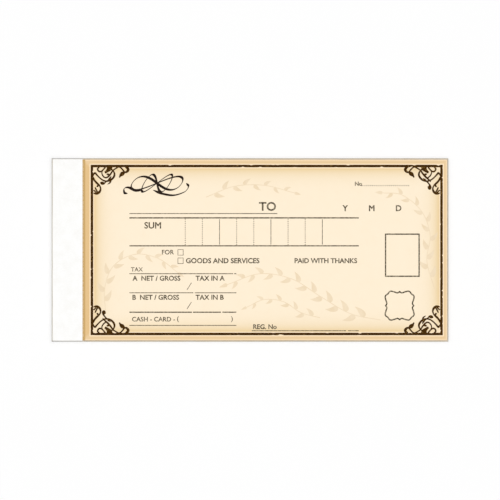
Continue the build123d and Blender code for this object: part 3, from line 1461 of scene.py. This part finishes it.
# Scrollwork of one corner, in four courses from the highest, so that strokes that cross don't share a plane.
# Each knot is along, down and the pen's width, in millimetres from near the inside of the frame's corner.
CORNER_SCROLLS = (
    {
        "inner_spur": ((6.4, 3.3, 0.45), (7.1, 3.5, 0.75), (7.9, 3.8, 0.6)),
        "hook_leaf": (
            (15.0, 2.4, 0.4), (14.4, 2.65, 1.05), (13.65, 3.2, 1.5), (13.0, 3.8, 1.1),
            (12.6, 4.35, 0.6), (12.3, 4.9, 0.5),
        ),
        "side_leaf": ((1.05, 9.4, 0.4), (1.35, 10.1, 0.52), (1.75, 10.9, 0.54), (2.2, 11.7, 0.5)),
        "side_spur": ((2.75, 8.2, 0.5), (2.4, 8.6, 0.6), (2.15, 9.05, 0.7), (2.1, 9.35, 0.5)),
    },
    {
        "corner_curl": (
            (3.0, 0.2, 0.5), (2.25, 0.75, 0.55), (2.5, 1.7, 0.6), (3.4, 2.2, 0.6),
            (4.5, 1.6, 0.5), (5.8, 0.1, 0.6),
        ),
        "great_scroll": (
            (-0.1, 4.9, 0.45), (0.3, 3.6, 0.5), (1.05, 2.85, 0.75), (2.0, 3.85, 0.55),
            (3.4, 5.25, 0.5), (5.0, 6.3, 0.55), (6.6, 6.6, 0.6), (8.5, 5.95, 0.7),
            (9.8, 4.5, 0.75), (10.05, 3.1, 0.65), (9.4, 1.8, 0.5), (8.0, 0.6, 0.6),
        ),
        "top_hook": (
            (11.8, -0.15, 0.6), (12.95, 0.35, 0.5), (13.9, 1.35, 0.55), (14.6, 2.2, 0.55),
            (15.35, 2.45, 0.7), (16.15, 1.85, 0.95), (16.4, 1.1, 1.0), (15.95, 0.4, 0.95),
            (15.3, -0.15, 0.9),
        ),
    },
    {
        "top_leaf": (
            (7.7, -0.3, 2.5), (7.55, 0.8, 1.95), (6.75, 1.8, 1.15), (5.6, 2.7, 0.75),
        ),
        "side_bud": ((0.3, 10.75, 0.4), (0.9, 11.2, 0.52), (1.6, 12.0, 0.45)),
    },
    {
        "side_scroll": (
            (0.0, 4.9, 0.8), (0.9, 6.4, 0.7), (2.0, 7.6, 0.75), (3.0, 8.5, 0.55),
            (3.6, 9.9, 0.55), (3.3, 11.3, 0.8), (2.3, 12.2, 0.9), (1.2, 12.4, 0.65),
            (0.35, 12.05, 0.4),
        ),
    },
)

# What springs from the great scroll, by the same courses: a short sprig with a leaf and a tail at the upper
# left and lower right, where the stem from the hook curls round inside the scroll, and a long one at the
# other two corners, where that stem crosses the scroll.
SHORT_SPRIG = (
    {
        "scroll_leaf": (
            (5.6, 7.0, 0.3), (6.6, 6.6, 0.45), (7.4, 5.95, 0.6), (8.05, 5.1, 0.65),
            (8.5, 4.3, 0.25),
        ),
    },
    {},
    {
        "inner_scroll": (
            (4.6, 1.6, 0.25), (4.2, 2.9, 0.4), (4.85, 4.35, 0.5), (6.0, 5.0, 0.55),
            (7.2, 4.45, 0.6), (8.3, 3.2, 0.6), (9.4, 1.6, 0.5), (11.0, 0.5, 0.5),
            (12.1, -0.1, 0.6),
        ),
        "scroll_tail": ((8.2, 5.9, 0.5), (8.25, 6.7, 0.6), (7.7, 7.5, 0.5), (6.7, 8.1, 0.1)),
        "ball_sprig": (
            (6.3, 6.8, 0.3), (5.7, 7.3, 0.4), (5.1, 7.6, 0.9), (4.4, 7.55, 1.15),
            (3.8, 7.35, 0.85), (3.4, 7.15, 0.2),
        ),
    },
    {},
)
LONG_SPRIG = (
    {"scroll_leaf": ((8.3, 5.2, 0.15), (7.8, 5.5, 0.4), (7.25, 5.95, 0.7), (6.7, 6.05, 0.3))},
    {},
    {"inner_curl": ((4.6, 1.6, 0.25), (4.2, 2.7, 0.4), (4.75, 4.0, 0.5), (5.6, 4.8, 0.5), (6.2, 5.2, 0.4))},
    {
        "cross_stem": (
            (12.1, -0.1, 0.6), (11.0, 0.5, 0.5), (9.45, 1.5, 0.55), (8.3, 3.05, 0.65),
            (7.2, 4.35, 0.7), (6.1, 5.35, 0.65), (5.3, 6.1, 0.5), (4.5, 7.0, 0.25),
        ),
        "long_sprig": (
            (7.6, 6.35, 0.3), (7.0, 6.5, 0.5), (6.4, 6.8, 0.5), (5.9, 7.25, 0.5),
            (5.45, 7.8, 0.5), (5.0, 8.5, 0.7), (5.05, 9.3, 1.4), (5.4, 9.95, 1.4),
            (5.75, 10.25, 0.4),
        ),
    },
)

# One eighth of the lobed box, from the cusp in the middle of a side to a corner, in millimetres from the
# middle of the box.
SEAL_EIGHTH = (
    (0.0, -6.5), (0.5, -6.1), (1.2, -5.95), (2.45, -6.36), (3.9, -6.7), (4.8, -6.38), (5.45, -5.45),
)
SEAL_MIDDLE = (146.86, 67.81)
SEAL_WEIGHT = 0.64

# The pen flourish, along and down from the upper left corner of its place: the middle of its two figures of
# eight, the reach and rise of each, how far they lean over, and the knots of its two tails.
FLOURISH_PLACE = (18.5, 5.6)
FLOURISH_MIDDLE = (15.8, 5.4)
FLOURISH_EIGHTS = ((11.5, 3.1), (6.0, 4.0))
FLOURISH_LEAN = 0.55
FLOURISH_TAILS = (
    ((9.5, 8.6), (6.0, 8.9), (2.6, 7.4), (0.6, 7.9), (0.7, 9.8), (2.2, 10.2)),
    ((14.0, 8.6), (18.0, 10.2), (23.5, 11.0), (28.6, 9.4), (30.4, 7.0), (29.4, 5.4)),
)

# The inward direction on each side of the frame, along and down, from the left side on.
FRAME_INWARD = np.array([[1.0, 0.0], [0.0, -1.0], [-1.0, 0.0], [0.0, 1.0]])


def inset_corners(
    left: float, head: float, right: float, foot: float, inset: float
) -> np.ndarray:
    """Corners of a rectangle with its sides moved inwards.

    Args:
        left: its left side, in millimetres on the slip.
        head: its upper side.
        right: its right side.
        foot: its lower side.
        inset: how far the sides are moved.

    Returns:
        The corners, counterclockwise from the top left.
    """
    return np.array(
        [
            [left + inset, head + inset],
            [left + inset, foot - inset],
            [right - inset, foot - inset],
            [right - inset, head + inset],
        ]
    )


@dataclass
class SlipPrint:
    """Everything printed on one slip over its ground: frame, scrollwork, flourish, form and sprays."""

    sizes: BookSizes
    prefix: str
    body: str
    top: float  # level of the highest ink
    slot: str
    frame_ink: Finish
    pen_ink: Finish
    form_ink: Finish
    faint_ink: Finish
    ground: PrintedPaper = PrintedPaper("printed_paper")
    frame_weight: float = 1.22  # mm
    frame_stations: int = 160  # to a side
    nibble: float = 0.03  # mm, the most that wear takes off the frame line everywhere
    bite: float = 0.45  # mm, the deepest bite out of it
    bite_rarity: int = 32  # power of an even draw, which makes deep bites rare
    scroll_weight: float = 1.3  # how much heavier the scrollwork prints than its knots say
    scroll_least: float = 0.1  # mm, the thinnest it prints
    scroll_seat: float = 0.42  # mm from the middle of the frame line to where the scrolls are counted from
    line_steps: int = 16  # points to each stretch between the knots of a tail or a stem
    stem: float = 0.34  # mm, width of a spray's stem
    first_leaf: float = 0.1  # share of the stem before the first leaf
    leaf_shrink: float = 0.4  # share by which the leaves grow shorter along the stem
    leaf_points: int = 11  # along a leaf
    leaf_breadth: float = 0.42  # of a leaf's length
    leaf_least: float = 0.02  # of a leaf's length, its width at the ends
    leaf_opening: float = 62.0  # degrees between the stem and the foot of a leaf
    leaf_curl: float = 44.0  # degrees by which a leaf bends back towards the stem's way
    column_gap: float = 0.6  # mm left free at the ends of the rules that divide the amount
    column_weight: float = 0.31  # mm
    dot: float = 0.41  # mm
    dot_pitch: float = 0.97  # mm
    eight_points: int = 200  # along a figure of eight
    pen_thin: float = 0.29  # mm
    pen_thick: float = 1.22  # mm
    pen_angle: float = 50.0  # degrees
    pen_start: float = 0.25  # share of its width that a stroke has at its ends
    pen_taper: float = 0.14  # share of its length over which a stroke would grow by its whole width

    def levels(self, layer: InkLayer) -> tuple[float, float]:
        """Underside and face of an ink layer."""
        paper = self.top - INK_RELIEF
        return paper, paper + INK_RELIEF * layer.value

    def frame_box(self, inset: float) -> np.ndarray:
        """Corners of the frame line moved inwards, counterclockwise from the top left."""
        plan = self.ground
        right = plan.page_length - plan.frame_right
        foot = plan.page_width - plan.frame_bottom
        return inset_corners(plan.frame_left, plan.frame_top, right, foot, inset)

    def frame_line(self) -> Surface:
        """The frame: a strip between two rectangles, both edges nibbled a little by wear.

        On every side the stations run evenly from corner to corner of either rectangle, so that the corners
        are mitred.
        """
        draws = np.random.default_rng(WEAR_SEED)
        share = np.linspace(0, 1, self.frame_stations, endpoint=False)[None, :, None]
        edges = []
        for inset in (0.5 * self.frame_weight, -0.5 * self.frame_weight):
            box = self.frame_box(inset)
            ahead = np.roll(box, -1, 0)
            run = (box[:, None] * (1 - share) + ahead[:, None] * share).reshape(-1, 2)
            inward = np.sign(inset) * FRAME_INWARD.repeat(self.frame_stations, 0)
            nibbled = self.nibble * draws.random(len(run))
            bitten = self.bite * draws.random(len(run)) ** self.bite_rarity
            wear_and_rim_shade = run - inward * (nibbled + bitten)[:, None]
            edges.append(self.sizes.on_page(*wear_and_rim_shade.T))
        return strip(edges[0], edges[1], *self.levels(InkLayer.FRAME), closed=True)

    def scrollwork(self) -> list[Surface]:
        """The scrolls of all four corners, each a mirror image of the first."""
        box = self.frame_box(self.scroll_seat)
        left, head = box[0]
        right, foot = box[2]
        low, high = self.levels(InkLayer.FRAME)
        parts = []
        for corner in Corner:
            way_along, way_down = corner.value
            from_along = left if way_along > 0 else right
            from_down = head if way_down > 0 else foot
            sprig = SHORT_SPRIG if way_along == way_down else LONG_SPRIG
            for course, (scrolls, shoots) in enumerate(zip(CORNER_SCROLLS, sprig)):
                face = high - course * INK_STEP
                for knots in (*scrolls.values(), *shoots.values()):
                    line = flowing(knots)
                    along = from_along + way_along * line[:, 0]
                    down = from_down + way_down * line[:, 1]
                    width = MM * np.maximum(self.scroll_weight * line[:, 2], self.scroll_least)
                    parts.append(stroke(self.sizes.on_page(along, down), width, low, face))
        return parts

    def pen_line(self, line: np.ndarray, sunk: float | np.ndarray, closed: bool = False) -> Surface:
        """A stroke of a broad pen held at one angle: widest where it moves square to that angle.

        A stroke that doesn't close on itself starts and ends thin.

        Args:
            line: points along and down, in millimetres from the flourish's corner.
            sunk: how many steps of the ink its face lies under the highest ink.
            closed: whether the line joins its own start.

        Returns:
            The stroke.
        """
        path = self.sizes.on_page(FLOURISH_PLACE[0] + line[:, 0], FLOURISH_PLACE[1] + line[:, 1])
        heading = np.gradient(path, axis=0)
        slant = np.arctan2(heading[:, 1], heading[:, 0]) - math.radians(self.pen_angle)
        width = self.pen_thin + (self.pen_thick - self.pen_thin) * np.sin(slant) ** 2
        if not closed:
            share = np.linspace(0, 1, len(line))
            to_end = np.minimum(share, 1 - share)
            width = width * np.minimum(1.0, self.pen_start + to_end / self.pen_taper)
        low, high = self.levels(InkLayer.FRAME)
        return stroke(path, MM * width, low, high - INK_STEP * sunk, closed)

    def flourish(self) -> list[Surface]:
        """A penman's flourish without letters: two leaning figures of eight and a pair of curled tails.

        A figure of eight is the sine of a turn along, and the sine of twice the turn down, leaned over. Its
        face sinks and rises again by one step, so that it passes under itself.
        """
        turn = np.linspace(0, 2 * math.pi, self.eight_points, endpoint=False)
        middle_along, middle_down = FLOURISH_MIDDLE
        parts = []
        for number, (reach, rise) in enumerate(FLOURISH_EIGHTS):
            down = rise * np.sin(2 * turn)
            along = middle_along + reach * np.sin(turn) - FLOURISH_LEAN * down
            sunk = 2 * number + 0.5 - 0.5 * np.cos(turn)
            line = np.stack([along, middle_down + down], -1)
            parts.append(self.pen_line(line, sunk, closed=True))
        for number, knots in enumerate(FLOURISH_TAILS):
            line = flowing(knots, steps=self.line_steps)
            parts.append(self.pen_line(line, 2 * len(FLOURISH_EIGHTS) + number))
        return parts

    def ruled(self, rule: Rule) -> Surface:
        """One rule, as a thin strip or as a row of dots."""
        ends = self.sizes.on_page(*np.array([rule.start, rule.end]).T)
        levels = self.levels(InkLayer.FORM)
        if rule.style is RuleStyle.DOTTED:
            run = np.linalg.norm(ends[1] - ends[0])
            count = int(run / (self.dot_pitch * MM)) + 1
            share = np.linspace(0, 1, count)[:, None]
            return stamped(ends[0] * (1 - share) + ends[1] * share, self.dot * MM, *levels)
        return stroke(ends, rule.weight * MM, *levels)

    def columns(self) -> list[Rule]:
        """The dividing rules of the amount: dotted between figures, solid at the commas."""
        top = AMOUNT_TOP + self.column_gap
        foot = AMOUNT_FOOT - self.column_gap
        rules = []
        for number in range(COLUMN_COUNT):
            along = COLUMN_START + number * COLUMN_PITCH
            comma = number % COLUMNS_TO_A_COMMA == COLUMNS_TO_A_COMMA - 1
            style = RuleStyle.SOLID if comma else RuleStyle.DOTTED
            rules.append(Rule((along, top), (along, foot), self.column_weight, style))
        return rules

    def boxed(self, box: Box) -> Surface:
        """One ruled box, as a strip between two rectangles."""
        right = box.along + box.width
        foot = box.down + box.height
        edges = []
        for inset in (0.5 * box.weight, -0.5 * box.weight):
            corners = inset_corners(box.along, box.down, right, foot, inset)
            edges.append(self.sizes.on_page(*corners.T))
        return strip(edges[0], edges[1], *self.levels(InkLayer.FORM), closed=True)

    def seal_box(self) -> Surface:
        """The lobed box: an eighth of its outline and its mirror image, turned four times."""
        eighth = np.array(SEAL_EIGHTH)
        quarter = np.vstack([eighth, -eighth[-2:0:-1, ::-1]])
        turn = np.array([[0.0, 1.0], [-1.0, 0.0]])
        knots = np.vstack([quarter @ np.linalg.matrix_power(turn, number) for number in range(4)])
        line = flowing(knots + np.array(SEAL_MIDDLE), closed=True)
        path = self.sizes.on_page(*line.T)
        return stroke(path, SEAL_WEIGHT * MM, *self.levels(InkLayer.FORM), closed=True)

    def worded(self, label: Label) -> Surface:
        """One plain word, raised to the level of the form's ink."""
        flat, triangles = letter_shapes(label.text, label.swell)
        along = label.along + label.height * flat[:, 0]
        down = label.down + label.height - label.height * flat[:, 1]
        return raised(self.sizes.on_page(along, down), triangles, *self.levels(InkLayer.FORM))

    def leafy(self, spray: Spray) -> list[Surface]:
        """One faint spray.

        The leaves stand at even steps along the stem, to either side in turn and shorter towards its end, and
        the last one carries the stem on. A leaf's middle line starts at the opening angle and bends back by
        the curl, and its width goes with the sine of the square root of the share of its length, times pi.

        Args:
            spray: the spray's knots, leaves and their length.

        Returns:
            The stem and its leaves.
        """
        low, high = self.levels(InkLayer.GROUND)
        stem = flowing(spray.stem, steps=self.line_steps)
        run = np.concatenate([[0.0], np.cumsum(np.linalg.norm(np.diff(stem, axis=0), axis=1))])
        share = np.linspace(self.first_leaf, 1.0, spray.leaves)
        spots = share * run[-1]
        feet = np.stack([np.interp(spots, run, axis) for axis in stem.T], -1)
        ways = np.stack([np.interp(spots, run, axis) for axis in np.gradient(stem, axis=0).T], -1)
        side = np.where(np.arange(spray.leaves) % 2 == 0, 1.0, -1.0)
        side[-1] = 0.0
        length = spray.leaf * (1.0 - self.leaf_shrink * share)
        blade = np.linspace(0.0, 1.0, self.leaf_points)
        bend = np.radians(self.leaf_opening - self.leaf_curl * blade)
        heading = np.arctan2(ways[:, 1], ways[:, 0])[:, None] + side[:, None] * bend[None]
        steps = np.stack([np.cos(heading), np.sin(heading)], -1) * (length / (len(blade) - 1))[:, None, None]
        lines = feet[:, None] + np.cumsum(steps, 1) - steps[:, :1]
        breadth = np.maximum(self.leaf_breadth * np.sin(np.pi * np.sqrt(blade)), self.leaf_least)
        paths = self.sizes.on_page(lines[..., 0], lines[..., 1])
        leaves = [stroke(path, MM * size * breadth, low, high) for path, size in zip(paths, length)]
        twig = self.sizes.on_page(*stem.T)
        return [stroke(twig, self.stem * MM, low, 0.5 * (low + high)), *leaves]

    def printed(self, name: str, parts: Sequence[Surface], ink: Finish) -> bpy.types.Object:
        """Several printed shapes as one piece that rides on the slip."""
        piece = Surface.joined(parts).piece(f"{self.prefix}_{name}", ink, self.slot)
        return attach(piece, self.body)

    def build(self) -> list[bpy.types.Object]:
        """Every printed piece of the slip."""
        rules = [self.ruled(rule) for rule in (*FORM_RULES, *self.columns())]
        boxes = [self.boxed(box) for box in FORM_BOXES]
        labels = [self.worded(label) for label in FORM_LABELS]
        sprays = [part for spray in GROUND_SPRAYS for part in self.leafy(spray)]
        return [
            self.printed("frame", [self.frame_line(), *self.scrollwork()], self.frame_ink),
            self.printed("flourish", self.flourish(), self.pen_ink),
            self.printed("form", [*rules, *boxes, self.seal_box(), *labels], self.form_ink),
            self.printed("sprays", sprays, self.faint_ink),
        ]


def dressed(nodes: dict[str, bpy.types.Object], name: str, finish: Finish) -> bpy.types.Object:
    """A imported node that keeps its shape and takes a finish.

    Args:
        nodes: the frame's nodes.
        name: the node's name.
        finish: what it is dressed in.

    Returns:
        The node's object.
    """
    node = nodes[name]
    for slot in node.material_slots:
        slot.material = finish.material()
    return node


@dataclass
class Binding:
    """Cover, glue, board and shield: what holds and backs the sheets."""

    nodes: dict[str, bpy.types.Object]
    card: Finish = CoverCard("grey_card")
    glue: Finish = PaddingGlue("padding_glue")
    pulp: Finish = PulpBoard("pulp_board")
    shield: Finish = ShieldCard("buff_card")

    def build(self) -> list[bpy.types.Object]:
        """Dresses every node in its finish."""
        finishes = {
            "back_cover": self.card,
            "cover_flap": self.card,
            "front_cover": self.card,
            "spine_glue": self.glue,
            "backing_board": self.pulp,
            "writing_shield": self.shield,
        }
        return [dressed(self.nodes, name, finish) for name, finish in finishes.items()]


@dataclass
class Studio:
    """Floor, light and a camera that looks straight down on the page."""

    sizes: BookSizes
    view_width: float = 231.95 * MM  # what the picture spans at the level of the page
    page_shift: float = 0.06 * MM  # how far the page lies right of the middle of the picture
    lens: float = 800.0  # long, so that the book's sides don't show
    sensor: float = 36.0
    sight: float = 200.0  # metres that the camera sees
    floor_reach: float = 20.0
    floor_gap: float = 0.03 * MM  # under the book, so that the two faces don't share a plane
    fill: float = 0.42  # light from all round
    key: float = 0.62  # light from the lamp overhead, on a white page
    lamp_height: float = 3.0
    lamp_size: float = 1.4
    lamp_lean: tuple[float, float] = (-0.04, -0.02)

    def floor(self) -> bpy.types.Object:
        """A wide plain floor under the book."""
        ways = np.array([[-1.0, -1.0], [1.0, -1.0], [1.0, 1.0], [-1.0, 1.0]])
        corners = np.column_stack([self.floor_reach * ways, np.full(len(ways), -self.floor_gap)])
        mesh = bpy.data.meshes.new("floor")
        mesh.from_pydata(corners, [], [(0, 1, 2, 3)])
        mesh.materials.append(StudioFloor("studio_floor").material())
        floor = bpy.data.objects.new("floor", mesh)
        bpy.context.scene.collection.objects.link(floor)
        return floor

    def world(self) -> None:
        """Even light from all round, which shows as plain white behind the floor."""
        world = bpy.data.worlds.new("studio")
        board = NodeBoard(world)
        white = srgb(255, 255, 255)
        light = board.add("ShaderNodeBackground", None, {"Color": white, "Strength": self.fill})
        plain = board.add("ShaderNodeBackground", None, {"Color": white, "Strength": 1.0})
        board.end_in("ShaderNodeOutputWorld", board.seen_plainly(), light, plain)
        bpy.context.scene.world = world

    def lamp(self) -> None:
        """A soft round lamp overhead, of the power that lights a white page to the key."""
        light = bpy.data.lights.new("overhead", "AREA")
        light.shape = "DISK"
        light.size = self.lamp_size
        light.energy = self.key * math.pi**2 * self.lamp_height**2
        lamp = bpy.data.objects.new("overhead", light)
        lamp.location = (*self.lamp_lean, self.lamp_height)
        lean_x = math.atan2(-self.lamp_lean[1], self.lamp_height)
        lean_y = math.atan2(self.lamp_lean[0], self.lamp_height)
        lamp.rotation_euler = (lean_x, lean_y, 0.0)
        bpy.context.scene.collection.objects.link(lamp)

    def camera(self) -> None:
        """A long lens straight above the middle of the page."""
        data = bpy.data.cameras.new("camera")
        data.lens = self.lens
        data.sensor_width = self.sensor
        data.clip_end = self.sight
        camera = bpy.data.objects.new("camera", data)
        middle = 0.5 * (self.sizes.bound_edge + self.sizes.free_edge)
        away = self.view_width * self.lens / self.sensor
        camera.location = (middle - self.page_shift, 0.0, self.sizes.block_top + away)
        bpy.context.scene.collection.objects.link(camera)
        bpy.context.scene.camera = camera

    def build(self) -> None:
        """Sets the stage."""
        self.floor()
        self.world()
        self.lamp()
        self.camera()
        bpy.context.scene.view_settings.view_transform = "Standard"


def report(pieces: Iterable[bpy.types.Object]) -> None:
    """Logs every piece with the number of its faces."""
    for piece in pieces:
        LOG.info("%s: %d faces", piece.name, len(piece.data.polygons))


def main() -> None:
    """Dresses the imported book, sub-assembly by sub-assembly, and sets the stage."""
    logging.basicConfig(level=logging.INFO, format="%(name)s: %(message)s")
    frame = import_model()
    sizes = BookSizes.from_nodes(frame["nodes"])
    worn_ink = Ink("frame_ink", rub=0.35, sheen=0.02)
    pen_ink = Ink("pen_ink", ink=srgb(16, 4, 0), thin=srgb(34, 18, 6))
    form_ink = Ink(
        "form_ink",
        ink=srgb(62, 54, 38),
        thin=srgb(80, 70, 52),
        rubbed=srgb(214, 200, 172),
        rub=0.38,
        fleck_band=(0.45, 0.65),
    )
    faint_ink = Ink("faint_ink", ink=srgb(238, 217, 184), thin=srgb(243, 224, 194))
    copy_ink = Ink("copy_ink", ink=srgb(120, 104, 84), thin=srgb(140, 124, 104))
    copy_faint = Ink("copy_faint_ink", ink=srgb(232, 226, 216), thin=srgb(238, 233, 224))

    report(TopSet(sizes).build())
    report(WaitingSets(sizes).build())
    inks = (worn_ink, pen_ink, form_ink, faint_ink)
    copy_inks = (copy_ink, copy_ink, copy_ink, copy_faint)
    slips = (
        ("top", "original_leaf", sizes.block_top, "original_paper", inks),
        ("next", "book", sizes.set_top(2), "set_paper", inks),
        ("copy", "copy_leaf", sizes.block_top - sizes.original, "copy_paper", copy_inks),
    )
    for prefix, body, top, slot, slip_inks in slips:
        report(SlipPrint(sizes, prefix, body, top, slot, *slip_inks).build())
    report(Binding(frame["nodes"]).build())
    Studio(sizes).build()


if __name__ == "__main__":
    main()
